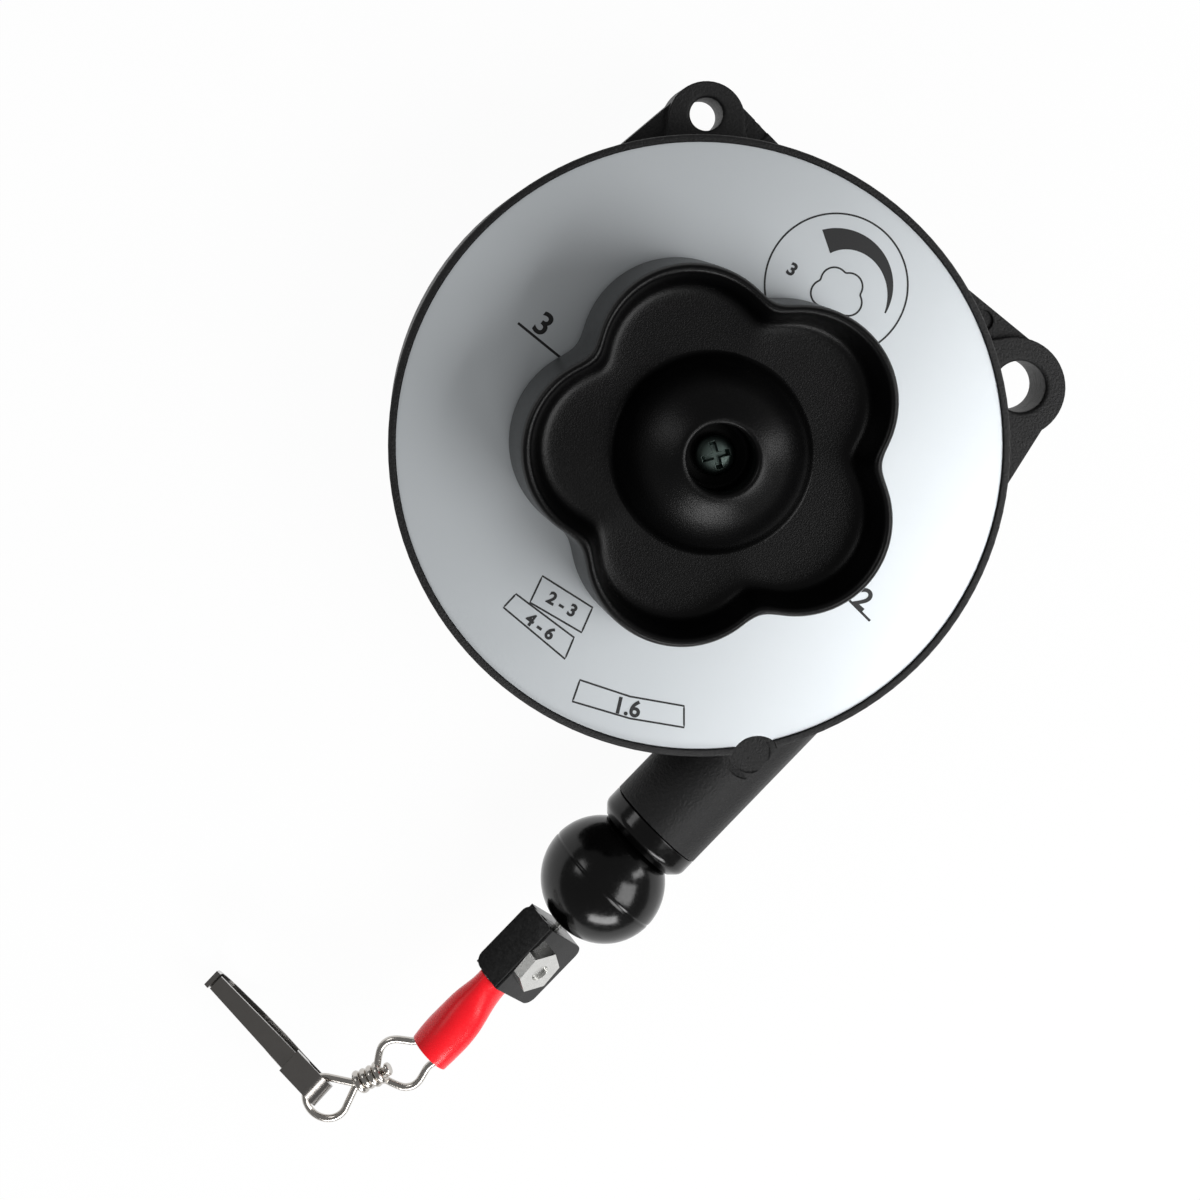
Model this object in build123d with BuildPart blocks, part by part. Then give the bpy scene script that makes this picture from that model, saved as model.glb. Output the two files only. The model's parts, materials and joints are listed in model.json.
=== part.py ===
from build123d import *
import os
from math import asin, cos, degrees, radians, sin, sqrt, tan

# Spring tool balancer, lying on its back. Millimetres, +Z along the knob's axis.
# The origin is where that axis meets the back face.
os.makedirs("parts", exist_ok=True)

# Housing
housing_radius = 60.0
housing_height = 38.0
wall = 2.5
floor_thickness = 2.5
front_plate = 2.6
cable_height = 19.0
rim_width = 1.4
rim_rise = 0.5
label_thickness = 0.6
label_clearance = 0.1
edge_round = 1.0
lip_height = 1.4
lip_thickness = 1.1
lip_clearance = 0.1
back_relief_depth = 0.8
back_relief_radius = 44.0

# Suspension ears: angle, boss radius and place, hole radius and place, reach of the webs
ears = {
    "safety": dict(angle=87.1, boss=7.65, boss_at=63.8, hole=3.3, hole_at=64.9, spread=16.0),
    "suspension": dict(angle=9.2, boss=10.0, boss_at=65.4, hole=5.1, hole_at=66.5, spread=28.0),
}
ear_thickness = 12.0
hole_round = 0.85
web_recess = 1.4
web_corner = 0.6

# Screws that close the housing, as angle and distance from the axis
screw_places = [(77.7, 62.9), (22.1, 63.0), (272.0, 60.5)]
shell_screw_radius = 1.5
shell_screw_head = 2.8
shell_screw_head_height = 2.0
shell_screw_reach = 7.0
shell_screw_head_round = 0.8
screw_boss = 4.0
screw_fit = 0.1
front_dimple_radius = 2.2
front_dimple_depth = 0.6

# Nozzle tube and its bushing, along the cable's line
cable_angle = 225.9
drum_pitch_radius = 49.8
cable_radius = 0.8
nozzle_radius = 10.2
nozzle_end = 60.1
nozzle_passage = 3.0
bushing_spigot_radius = 7.4
bushing_spigot_length = 9.0
bushing_fit = 0.05
collar_length = 3.6
mouth_end = 65.5
mouth_radius = 8.5
mouth_round = 2.2
mouth_lip = 0.7
bushing_bore = 1.3
parting_groove = 0.35

# Recess over the nozzle, which also notches the label and the rim
notch_centre = (11.3, -61.3)
notch_radius = 5.35
nozzle_recess_radius = 4.0
nozzle_recess_depth = 1.2

# Ball stopper
ball_radius = 12.5
ball_bore = 1.0
ball_seat_gap = 0.25

# Central shaft
arbor_radius = 8.0
arbor_hub_radius = 11.0
running_clearance = 0.05
arbor_foot = 3.0
arbor_hub_bottom = 10.6
arbor_top = 55.0
arbor_shoulder = 36.0
bush_end_gap = 0.3
drive_radius = 6.0
drive_flat = 4.6
drive_clearance = 0.1
boss_radius = 13.0
back_boss_top = 7.0
front_boss_bottom = 30.6
retaining_ring_radius = 10.4
retaining_ring_thickness = 1.0
retaining_ring_gap = 0.3
ring_groove_depth = 0.8

# Drum
groove_floor = 49.0
groove_half_width = 5.5
flange_thickness = 1.5
flange_radius = 53.6
chamber_radius = 44.5
drum_bottom = 10.0
web_thickness = 2.4
bush_radius = 10.2
hub_radius = 13.0
hub_height = 3.2
cover_thickness = 1.4
cover_radius = 52.0
winding_thickness = 1.6
winding_gap = 0.1
lightening_radius = 5.5
lightening_at = 29.0
lightening_count = 6
anchor_radius = 1.7
anchor_angle = 160.0
anchor_length = 4.0
anchor_at = 47.0

# Power spring
spring_strip = 0.5
spring_turns = 8
spring_gap_to_wall = 0.3
spring_side_gap = 0.5

# Friction brake under the knob
brake_outer = 11.6
brake_inner = 8.2
friction_ring_thickness = 1.2
disc_spring_thickness = 0.7
disc_spring_rise = 0.6
stack_gap = 0.02

# Knob
knob_base = 40.6
knob_crest = 62.6
lobe_count = 5
lobe_angle = 33.0
lobe_at = 18.5
lobe_radius = 18.4
valley_round = 6.0
knob_draft = 3.2
crest_round = 1.5
dish_wall = 3.4
dish_floor = 53.6
dish_draft = 14.0
dish_round = 3.0
dome_top = 67.6
dome_radius = 17.4
dome_hole_radius = 6.25
dome_lip_radius = 9.0
dome_hole_floor = 56.1
knob_shell = 3.0
knob_hub_radius = 10.0
knob_rib = 2.0
knob_screw_head_radius = 3.8
knob_screw_head_height = 2.6
knob_screw_radius = 2.0
knob_screw_depth = 12.0
washer_radius = 5.6
washer_thickness = 0.9

# Cable clamp: an angle and a block, pressed together by one screw beside the strands
clamp_start = 88.8
clamp_length = 16.0
clamp_width = 13.6
clamp_thickness = 8.0
clamp_tilt = 45.0
clamp_shift = 2.6
clamp_leg = 0.9
clamp_corner = 2.2
ridge_round = 0.5
jaw_gap = 0.1
strand_fit = 0.05
clamp_screw_radius = 1.8
nut_flats = 8.6
nut_thickness = 2.2
nut_turn = 7.0
clamp_head_radius = 2.8
clamp_head_height = 2.2
clamp_screw_end = 0.7

# Cable loop and its sleeve
strand_offset = 2.9
loop_apex = 124.0
loop_drift = 1.4
loop_half_height = 2.55
loop_corner = 2.2
sleeve_start = 105.0
sleeve_end = 124.7
sleeve_wall = 0.55
# distance along the cable, half-width across the loop, half-width in the loop's plane
sleeve_sections = [
    (0.0, 2.8, 4.35),
    (0.24, 3.5, 4.4),
    (0.52, 4.5, 4.35),
    (0.78, 4.75, 4.6),
    (1.0, 4.4, 4.4),
]

# Swivel eye, pear link and hook, made of wire and sheet
wire_radius = 0.75
eye_heading = 209.0
eye_pitch = 12.0
eye_behind = 2.3
eye_inner_half = 2.6
eye_neck = 2.3
eye_wide = 5.1
eye_wide_from = 6.0
eye_wide_to = 8.9
eye_end_half = 1.9
coil_start = 11.0
coil_pitch = 1.5
coil_turns = 4
shank_clearance = 0.08
head_radius = 1.3
head_length = 0.9
head_play = 0.2
link_neck = 18.0
link_round = 4.4
link_centre = 25.1
link_contact_angle = -72.0

hook_sheet = 1.0
hook_width = 5.2
hook_nose_width = 3.6
hook_taper_from = 10.0
hook_across_heading = 224.2
hook_across_rise = 12.8
hook_pitch = 12.0
fold_radius = 3.3
strap_length = 6.2
fold_release = 4.0
throat_round = 8.0
hook_length = 28.5
hook_depth = 8.2
hook_waist = 3.5
throat_start = 3.5
throat_full = 17.0
hook_nose_height = 2.9
bow_round = 5.0
cheek_thickness = 0.45
cheek_start = 2.4
gate_pivot = (4.6, 0.6)
gate_pin_radius = 0.7
gate_start = 3.2
gate_end = 27.6
gate_top = 2.5
gate_sheet = 0.6
gate_flange = 2.4
gate_width = 3.9
gate_tip_width = 3.2
gate_pin_fit = 0.05
gate_lug = 0.9
gate_side_gap = 0.1
leaf_thickness = 0.3
leaf_width = 2.0
leaf_foot = 9.5
leaf_touch = 13.0

# Places worked out from the sizes above
cable_direction = Vector(cos(radians(cable_angle)), sin(radians(cable_angle)), 0)
outward = Vector(-cable_direction.Y, cable_direction.X, 0)
cable_line = Plane(
    origin=outward * drum_pitch_radius + Vector(0, 0, cable_height),
    x_dir=cable_direction,
    z_dir=(0, 0, 1),
)
clamp_normal = outward * sin(radians(clamp_tilt)) + Vector(0, 0, cos(radians(clamp_tilt)))
ridge_side = Vector(0, 0, sin(radians(clamp_tilt))) - outward * cos(radians(clamp_tilt))
loop_plane = Plane(
    origin=cable_line.origin + ridge_side * strand_offset,
    x_dir=cable_direction,
    z_dir=clamp_normal,
)
inner_radius = housing_radius - wall
rim_top = housing_height
label_seat = rim_top - rim_rise - label_thickness
label_radius = housing_radius - rim_width - label_clearance
front_plate_bottom = label_seat - front_plate
ear_bottom = cable_height - ear_thickness / 2
ear_top = cable_height + ear_thickness / 2
ball_centre = mouth_end + sqrt((ball_radius + ball_seat_gap) ** 2 - (mouth_radius - mouth_lip) ** 2)
cable_section = Plane(origin=cable_line.origin, x_dir=cable_direction, z_dir=-outward)
cable_axis = Axis(cable_line.origin, cable_direction)
drum_top = cable_height + groove_half_width + flange_thickness
drum_web_bottom = drum_top - web_thickness
arbor_hub_top = drum_web_bottom - bush_end_gap
winding_outer = groove_floor + winding_gap + winding_thickness
cable_start = sqrt(
    winding_outer**2 - (drum_pitch_radius - cable_radius) ** 2
) + 0.4


def polar(angle, distance):
    """A point in the housing's plane, from its angle in degrees and its distance from the axis."""
    return (distance * cos(radians(angle)), distance * sin(radians(angle)))


def across_cable(distance):
    """The plane square to the cable's line, at a distance along it."""
    return Plane(
        origin=cable_line.from_local_coords((distance, 0, 0)),
        x_dir=outward,
        z_dir=cable_direction,
    )


def ear_bosses(bottom, top):
    """Adds the round end of each ear with its straight sides, between two heights."""
    for ear in ears.values():
        with BuildSketch(Plane.XY.offset(bottom)) as outline:
            with Locations(polar(ear["angle"], ear["boss_at"])):
                Circle(ear["boss"])
            middle = (ear["boss_at"] + inner_radius) / 2
            with Locations(Location((*polar(ear["angle"], middle), 0), (0, 0, ear["angle"]))):
                Rectangle(ear["boss_at"] - inner_radius, 2 * ear["boss"])
        extrude(outline.sketch, amount=top - bottom)


def ear_webs(bottom, top):
    """Adds the thinner web on both sides of each ear, tangent to its round end."""
    for ear in ears.values():
        with BuildSketch(Plane.XY.offset(bottom)) as outline:
            with Locations(polar(ear["angle"], ear["boss_at"])):
                Circle(ear["boss"] - web_corner)
            with Locations(
                polar(ear["angle"] - ear["spread"], inner_radius),
                polar(ear["angle"] + ear["spread"], inner_radius),
            ):
                Circle(housing_radius - inner_radius)
            make_hull()
        extrude(outline.sketch, amount=top - bottom)


def nozzle_half(lower):
    """Adds the lower or the upper half of the nozzle tube, solid until its passage is cut."""
    with BuildSketch(across_cable(0)) as outline:
        Circle(nozzle_radius)
        side = 1 if lower else -1
        with Locations((0, side * nozzle_radius)):
            Rectangle(2 * nozzle_radius, 2 * nozzle_radius, mode=Mode.SUBTRACT)
    extrude(outline.sketch, amount=nozzle_end)


def nozzle_passage_cut():
    """Cuts the cable's passage and the bushing's socket through the nozzle."""
    with BuildSketch(across_cable(0)) as passage:
        Circle(nozzle_passage)
    extrude(passage.sketch, amount=nozzle_end, mode=Mode.SUBTRACT)
    with BuildSketch(across_cable(nozzle_end - bushing_spigot_length - bushing_fit)) as socket:
        Circle(bushing_spigot_radius + bushing_fit)
    extrude(socket.sketch, amount=bushing_spigot_length + bushing_fit, mode=Mode.SUBTRACT)


def ear_holes(bottom, top, rounded_at):
    """Cuts the ears' holes and rounds their edge on the outer side."""
    for ear in ears.values():
        with BuildSketch(Plane.XY.offset(bottom)) as outline:
            with Locations(polar(ear["angle"], ear["hole_at"])):
                Circle(ear["hole"])
        extrude(outline.sketch, amount=top - bottom, mode=Mode.SUBTRACT)
    return [
        edge
        for ear in ears.values()
        for edge in edges_at_height(rounded_at)
        if edge.geom_type == GeomType.CIRCLE
        and abs(edge.radius - ear["hole"]) < 0.01
    ]


def edges_at_height(height):
    """All edges of the part being built that lie flat at one height."""
    part = BuildPart._get_context().part
    return part.edges().filter_by_position(Axis.Z, height - 0.01, height + 0.01)


# Back shell: the rear half of the housing, with the inner half of the joint's lip
with BuildPart() as back_shell:
    with BuildSketch():
        Circle(housing_radius)
    extrude(amount=cable_height)
    fillet(edges_at_height(0), edge_round)
    ear_bosses(ear_bottom, cable_height)
    ear_webs(ear_bottom + web_recess, cable_height)
    nozzle_half(lower=True)
    with BuildSketch(Plane.XY.offset(floor_thickness)):
        Circle(inner_radius)
    extrude(amount=housing_height, mode=Mode.SUBTRACT)
    with BuildSketch(Plane.XY.offset(cable_height - lip_height)):
        Circle(inner_radius + lip_thickness)
        Circle(inner_radius, mode=Mode.SUBTRACT)
    extrude(amount=2 * lip_height)
    with BuildSketch(Plane.XY.offset(floor_thickness)):
        Circle(boss_radius)
    extrude(amount=back_boss_top - floor_thickness)
    with BuildSketch(Plane.XY.offset(floor_thickness)):
        Circle(arbor_radius + running_clearance)
    extrude(amount=back_boss_top, mode=Mode.SUBTRACT)
    nozzle_passage_cut()
    with BuildSketch():
        Circle(back_relief_radius)
        Circle(boss_radius + wall, mode=Mode.SUBTRACT)
    extrude(amount=back_relief_depth, mode=Mode.SUBTRACT)
    fillet(ear_holes(0, cable_height, ear_bottom), hole_round)
    with Locations(*[polar(*place) for place in screw_places]):
        Hole(shell_screw_radius + screw_fit)
    for place in screw_places:
        with BuildSketch(Plane.XY):
            with Locations(polar(*place)):
                Circle(shell_screw_head + screw_fit)
        extrude(amount=cable_height - screw_boss, mode=Mode.SUBTRACT)
back_shell.part.label = "back_shell"
export_step(back_shell.part, "parts/back_shell.step")

# Front shell: plate, wall, rim round the label, and the other half of ears and nozzle
with BuildPart() as front_shell:
    with BuildSketch(Plane.XY.offset(cable_height)):
        Circle(housing_radius)
    extrude(amount=rim_top - cable_height)
    ear_bosses(cable_height, ear_top)
    ear_webs(cable_height, ear_top - web_recess)
    nozzle_half(lower=False)
    fillet(edges_at_height(rim_top), edge_round * 0.6)
    with BuildSketch(Plane.XY.offset(label_seat)):
        Circle(label_radius + label_clearance)
    extrude(amount=housing_height, mode=Mode.SUBTRACT)
    with BuildSketch(Plane.XY.offset(cable_height)):
        Circle(inner_radius)
    extrude(amount=front_plate_bottom - cable_height, mode=Mode.SUBTRACT)
    with BuildSketch(Plane.XY.offset(cable_height)):
        Circle(inner_radius + lip_thickness + lip_clearance)
    extrude(amount=lip_height + lip_clearance, mode=Mode.SUBTRACT)
    with BuildSketch(Plane.XY.offset(front_boss_bottom)):
        Circle(boss_radius)
    extrude(amount=front_plate_bottom - front_boss_bottom)
    with BuildSketch(Plane.XY.offset(front_boss_bottom)):
        Circle(arbor_radius + running_clearance)
    extrude(amount=housing_height, mode=Mode.SUBTRACT)
    nozzle_passage_cut()
    with BuildSketch(Plane.XY.offset(cable_height + nozzle_radius * 0.9)):
        with Locations(notch_centre):
            Circle(notch_radius)
    extrude(amount=housing_height, mode=Mode.SUBTRACT)
    with BuildSketch(Plane.XY.offset(cable_height + nozzle_radius - nozzle_recess_depth)):
        with Locations(notch_centre):
            Circle(nozzle_recess_radius)
    extrude(amount=housing_height, mode=Mode.SUBTRACT)
    fillet(ear_holes(cable_height, ear_top, ear_top), hole_round)
    for place in screw_places:
        with BuildSketch(Plane.XY.offset(cable_height)):
            with Locations(polar(*place)):
                Circle(shell_screw_radius)
        extrude(amount=shell_screw_reach - screw_boss + screw_fit, mode=Mode.SUBTRACT)
    for place in screw_places[:2]:
        with BuildSketch(Plane.XY.offset(ear_top - web_recess - front_dimple_depth)):
            with Locations(polar(*place)):
                Circle(front_dimple_radius)
        extrude(amount=front_dimple_depth, mode=Mode.SUBTRACT)
front_shell.part.label = "front_shell"
export_step(front_shell.part, "parts/front_shell.step")

# Label plate: a thin disc with the notch and a hole for the brake under the knob
with BuildPart() as label_plate:
    with BuildSketch(Plane.XY.offset(label_seat)):
        Circle(label_radius)
        Circle(brake_outer + label_clearance, mode=Mode.SUBTRACT)
        with Locations(notch_centre):
            Circle(notch_radius, mode=Mode.SUBTRACT)
    extrude(amount=label_thickness)
label_plate.part.label = "label_plate"
export_step(label_plate.part, "parts/label_plate.step")

# Shell screws: pan heads at the back, each a solid of its own
screw_seat = cable_height - screw_boss
with BuildPart() as shell_screws:
    for place in screw_places:
        with BuildSketch(Plane.XY.offset(screw_seat)):
            with Locations(polar(*place)):
                Circle(shell_screw_head)
        extrude(amount=-shell_screw_head_height)
        with BuildSketch(Plane.XY.offset(screw_seat)):
            with Locations(polar(*place)):
                Circle(shell_screw_radius)
        extrude(amount=shell_screw_reach)
    fillet(edges_at_height(screw_seat - shell_screw_head_height), shell_screw_head_round)
shell_screws.part.label = "shell_screws"
export_step(shell_screws.part, "parts/shell_screws.step")

# Nozzle bushing: a spigot in the tube, a collar flush with it, and a round seat for the ball
with BuildPart() as nozzle_bushing:
    with BuildSketch(cable_section):
        with BuildLine():
            Polyline(
                (nozzle_end - bushing_spigot_length, bushing_bore),
                (nozzle_end - bushing_spigot_length, bushing_spigot_radius),
                (nozzle_end, bushing_spigot_radius),
                (nozzle_end, nozzle_radius - parting_groove),
                (nozzle_end + parting_groove, nozzle_radius),
                (nozzle_end + collar_length, nozzle_radius),
                (mouth_end, mouth_radius),
                (mouth_end, bushing_bore),
                close=True,
            )
        make_face()
        shoulder = vertices().filter_by(lambda v: v.X > nozzle_end + 1 and v.Y > nozzle_radius - 0.1)
        fillet(shoulder, mouth_round)
    revolve(axis=cable_axis)
    with BuildSketch(cable_section):
        with Locations((ball_centre, 0)):
            Circle(ball_radius + ball_seat_gap)
        with Locations((ball_centre, -ball_radius)):
            Rectangle(3 * ball_radius, 2 * ball_radius, mode=Mode.SUBTRACT)
    revolve(axis=cable_axis, mode=Mode.SUBTRACT)
nozzle_bushing.part.label = "nozzle_bushing"
export_step(nozzle_bushing.part, "parts/nozzle_bushing.step")

# Arbor: stepped shaft with a hub for the spring and two flats that drive the knob
ring_bottom = front_boss_bottom - retaining_ring_gap - retaining_ring_thickness
with BuildPart() as arbor:
    with BuildSketch(Plane.XZ):
        with BuildLine():
            Polyline(
                (0, arbor_foot),
                (arbor_radius, arbor_foot),
                (arbor_radius, arbor_hub_bottom),
                (arbor_hub_radius, arbor_hub_bottom),
                (arbor_hub_radius, arbor_hub_top),
                (arbor_radius, arbor_hub_top),
                (arbor_radius, ring_bottom),
                (arbor_radius - ring_groove_depth, ring_bottom),
                (arbor_radius - ring_groove_depth, ring_bottom + retaining_ring_thickness),
                (arbor_radius, ring_bottom + retaining_ring_thickness),
                (arbor_radius, arbor_shoulder),
                (drive_radius, arbor_shoulder),
                (drive_radius, arbor_top),
                (0, arbor_top),
                close=True,
            )
        make_face()
    revolve(axis=Axis.Z)
    for side in (1, -1):
        with BuildSketch(Plane.XY.offset(arbor_shoulder)):
            with Locations((side * (drive_flat + drive_radius), 0)):
                Rectangle(2 * drive_radius, 3 * drive_radius)
        extrude(amount=arbor_top - arbor_shoulder, mode=Mode.SUBTRACT)
    with BuildSketch(Plane.XY.offset(arbor_top)):
        Circle(knob_screw_radius)
    extrude(amount=-knob_screw_depth - screw_fit, mode=Mode.SUBTRACT)
arbor.part.label = "arbor"
export_step(arbor.part, "parts/arbor.step")

# Retaining ring: a snap ring, open on one side, in the arbor's groove
with BuildPart() as retaining_ring:
    with BuildSketch(Plane.XY.offset(ring_bottom)):
        Circle(retaining_ring_radius)
        Circle(arbor_radius - ring_groove_depth, mode=Mode.SUBTRACT)
        with Locations((-retaining_ring_radius, 0)):
            Rectangle(retaining_ring_radius, arbor_radius, mode=Mode.SUBTRACT)
    extrude(amount=retaining_ring_thickness)
retaining_ring.part.label = "retaining_ring"
export_step(retaining_ring.part, "parts/retaining_ring.step")

# Drum: rim with the cable groove, web at the front, hub, and lightening holes in the web
hub_top = drum_web_bottom + hub_height
with BuildPart() as drum:
    with BuildSketch(Plane.XZ):
        with BuildLine():
            Polyline(
                (bush_radius, drum_web_bottom),
                (chamber_radius, drum_web_bottom),
                (chamber_radius, drum_bottom),
                (groove_floor, drum_bottom),
                (groove_floor, cable_height - groove_half_width - flange_thickness),
                (flange_radius, cable_height - groove_half_width - flange_thickness),
                (flange_radius, cable_height - groove_half_width),
                (groove_floor, cable_height - groove_half_width),
                (groove_floor, cable_height + groove_half_width),
                (flange_radius, cable_height + groove_half_width),
                (flange_radius, drum_top),
                (hub_radius, drum_top),
                (hub_radius, hub_top),
                (bush_radius, hub_top),
                close=True,
            )
        make_face()
    revolve(axis=Axis.Z)
    with BuildSketch(Plane.XY.offset(drum_web_bottom)):
        with PolarLocations(lightening_at, lightening_count):
            Circle(lightening_radius)
    extrude(amount=web_thickness, mode=Mode.SUBTRACT)
    with BuildSketch(Plane.XY.offset(cable_height - anchor_length / 2)):
        with Locations(polar(anchor_angle, anchor_at)):
            Circle(anchor_radius + winding_gap)
    extrude(amount=anchor_length, mode=Mode.SUBTRACT)
drum.part.label = "drum"
export_step(drum.part, "parts/drum.step")

# Drum cover: closes the spring chamber and carries the rear bush
cover_bottom = drum_bottom - cover_thickness
with BuildPart() as drum_cover:
    with BuildSketch(Plane.XY.offset(cover_bottom)):
        Circle(cover_radius)
        Circle(bush_radius, mode=Mode.SUBTRACT)
    extrude(amount=cover_thickness)
drum_cover.part.label = "drum_cover"
export_step(drum_cover.part, "parts/drum_cover.step")

# Plain bushes between the arbor and the drum
for name, bottom, top in (
    ("drum_bush_front", arbor_hub_top + bush_end_gap, hub_top),
    ("drum_bush_back", cover_bottom, arbor_hub_bottom - bush_end_gap),
):
    with BuildPart() as bush:
        with BuildSketch(Plane.XY.offset(bottom)):
            Circle(bush_radius)
            Circle(arbor_radius + running_clearance, mode=Mode.SUBTRACT)
        extrude(amount=top - bottom)
    bush.part.label = name
    export_step(bush.part, f"parts/{name}.step")

# Cable winding: the outer shape of the turns in the groove
with BuildPart() as cable_winding:
    with BuildSketch(Plane.XY.offset(cable_height - groove_half_width + winding_gap)):
        Circle(winding_outer)
        Circle(groove_floor + winding_gap, mode=Mode.SUBTRACT)
    extrude(amount=2 * (groove_half_width - winding_gap))
cable_winding.part.label = "cable_winding"
export_step(cable_winding.part, "parts/cable_winding.step")

# Cable anchor: the ferrule at the cable's inner end, in its pocket in the rim
with BuildPart() as cable_anchor:
    with BuildSketch(Plane.XY.offset(cable_height - anchor_length / 2)):
        with Locations(polar(anchor_angle, anchor_at)):
            Circle(anchor_radius)
    extrude(amount=anchor_length)
cable_anchor.part.label = "cable_anchor"
export_step(cable_anchor.part, "parts/cable_anchor.step")

# Power spring: half circles that grow by half a pitch, from the arbor's hub to the chamber's wall
spring_inner = arbor_hub_radius + spring_gap_to_wall
spring_outer = chamber_radius - spring_gap_to_wall - spring_strip
spring_step = (spring_outer - spring_inner) / (2 * spring_turns)
with BuildPart() as power_spring:
    with BuildSketch(Plane.XY.offset(arbor_hub_bottom + spring_side_gap)):
        with BuildLine():
            for inset in (0, spring_strip):
                for half in range(2 * spring_turns):
                    centre_x = spring_step * (half % 2 - 0.5)
                    radius = spring_inner + inset + spring_step * (half + 0.5)
                    CenterArc((centre_x, 0), radius, 180 * (half % 2), 180)
            for end in (spring_inner, spring_outer):
                Line((end, 0), (end + spring_strip, 0))
        make_face()
    extrude(amount=arbor_hub_top - arbor_hub_bottom - 2 * spring_side_gap)
power_spring.part.label = "power_spring"
export_step(power_spring.part, "parts/power_spring.step")

# Friction ring and disc spring, stacked between the front plate and the knob's hub
with BuildPart() as friction_ring:
    with BuildSketch(Plane.XY.offset(label_seat)):
        Circle(brake_outer)
        Circle(brake_inner, mode=Mode.SUBTRACT)
    extrude(amount=friction_ring_thickness)
friction_ring.part.label = "friction_ring"
export_step(friction_ring.part, "parts/friction_ring.step")

disc_bottom = label_seat + friction_ring_thickness + stack_gap
with BuildPart() as disc_spring:
    with BuildSketch(Plane.XZ):
        with BuildLine():
            Polyline(
                (brake_outer, disc_bottom),
                (brake_outer, disc_bottom + disc_spring_thickness),
                (brake_inner, disc_bottom + disc_spring_thickness + disc_spring_rise),
                (brake_inner, disc_bottom + disc_spring_rise),
                close=True,
            )
        make_face()
    revolve(axis=Axis.Z)
disc_spring.part.label = "disc_spring"
export_step(disc_spring.part, "parts/disc_spring.step")

# Knob: five lobes with a draft, a dish on top, a dome with the screw's hole, hollow below
hub_bottom = disc_bottom + disc_spring_thickness + disc_spring_rise + stack_gap
dish_depth = knob_crest - dish_floor
rib_end = lobe_at + lobe_radius - knob_shell + knob_rib / 2


def lobed_outline(height, inset):
    """The knob's five-lobe outline at a height, drawn in by an inset."""
    with BuildSketch(Plane.XY.offset(height)) as outline:
        with PolarLocations(lobe_at, lobe_count, start_angle=lobe_angle):
            Circle(lobe_radius)
        Circle(lobe_at)
        fillet(outline.vertices(), valley_round)
        if inset:
            offset(amount=-inset)
    return outline.sketch


with BuildPart() as knob:
    extrude(lobed_outline(knob_base, 0), amount=knob_crest - knob_base, taper=knob_draft)
    fillet(edges_at_height(knob_crest), crest_round)
    top_inset = dish_wall + (knob_crest - knob_base) * tan(radians(knob_draft))
    extrude(
        lobed_outline(knob_crest, top_inset),
        amount=-dish_depth,
        taper=dish_draft,
        mode=Mode.SUBTRACT,
    )
    with BuildSketch(Plane.XZ):
        with BuildLine():
            Line((0, dish_floor - knob_shell), (dome_radius, dish_floor - knob_shell))
            Line((dome_radius, dish_floor - knob_shell), (dome_radius, dish_floor))
            ThreePointArc(
                (dome_radius, dish_floor),
                (dome_radius * 0.86, (dish_floor + dome_top) / 2 + 1.6),
                (dome_lip_radius, dome_top),
            )
            Line((dome_lip_radius, dome_top), (0, dome_top))
            Line((0, dome_top), (0, dish_floor - knob_shell))
        make_face()
    revolve(axis=Axis.Z)
    fillet(edges_at_height(dish_floor), dish_round)
    extrude(
        lobed_outline(knob_base, knob_shell),
        amount=dish_floor - knob_shell - knob_base,
        taper=knob_draft,
        mode=Mode.SUBTRACT,
    )
    with BuildSketch(Plane.XY.offset(hub_bottom)):
        Circle(knob_hub_radius)
    extrude(amount=dish_floor - hub_bottom)
    with BuildSketch(Plane.XY.offset(knob_base + knob_rib)):
        rib_middle = (knob_hub_radius - knob_rib + rib_end) / 2
        with PolarLocations(rib_middle, lobe_count, start_angle=lobe_angle):
            Rectangle(2 * (rib_end - rib_middle), knob_rib)
        with Locations((0, 0)):
            Circle(knob_hub_radius - knob_rib, mode=Mode.SUBTRACT)
    extrude(amount=dish_floor - knob_shell - knob_base)
    with BuildSketch(Plane.XY.offset(dome_hole_floor)):
        Circle(dome_hole_radius)
    extrude(amount=knob_crest, mode=Mode.SUBTRACT)
    with BuildSketch(Plane.XY.offset(hub_bottom)):
        Circle(drive_radius + drive_clearance)
        Rectangle(
            2 * (drive_flat + drive_clearance), 4 * drive_radius, mode=Mode.INTERSECT
        )
    extrude(amount=arbor_top + drive_clearance - hub_bottom, mode=Mode.SUBTRACT)
    with BuildSketch(Plane.XY.offset(arbor_top)):
        Circle(knob_screw_radius + drive_clearance)
    extrude(amount=dome_hole_floor - arbor_top + drive_clearance, mode=Mode.SUBTRACT)
knob.part.label = "knob"
export_step(knob.part, "parts/knob.step")

# Knob screw and its washer, at the bottom of the dome's hole
with BuildPart() as knob_washer:
    with BuildSketch(Plane.XY.offset(dome_hole_floor)):
        Circle(washer_radius)
        Circle(knob_screw_radius + drive_clearance, mode=Mode.SUBTRACT)
    extrude(amount=washer_thickness)
knob_washer.part.label = "knob_washer"
export_step(knob_washer.part, "parts/knob_washer.step")

head_bottom = dome_hole_floor + washer_thickness
with BuildPart() as knob_screw:
    with BuildSketch(Plane.XY.offset(head_bottom)):
        Circle(knob_screw_head_radius)
    extrude(amount=knob_screw_head_height)
    fillet(edges_at_height(head_bottom + knob_screw_head_height), knob_screw_head_height / 2)
    with BuildSketch(Plane.XY.offset(head_bottom)):
        Circle(knob_screw_radius - screw_fit)
    extrude(amount=-knob_screw_depth)
knob_screw.part.label = "knob_screw"
export_step(knob_screw.part, "parts/knob_screw.step")

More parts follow.
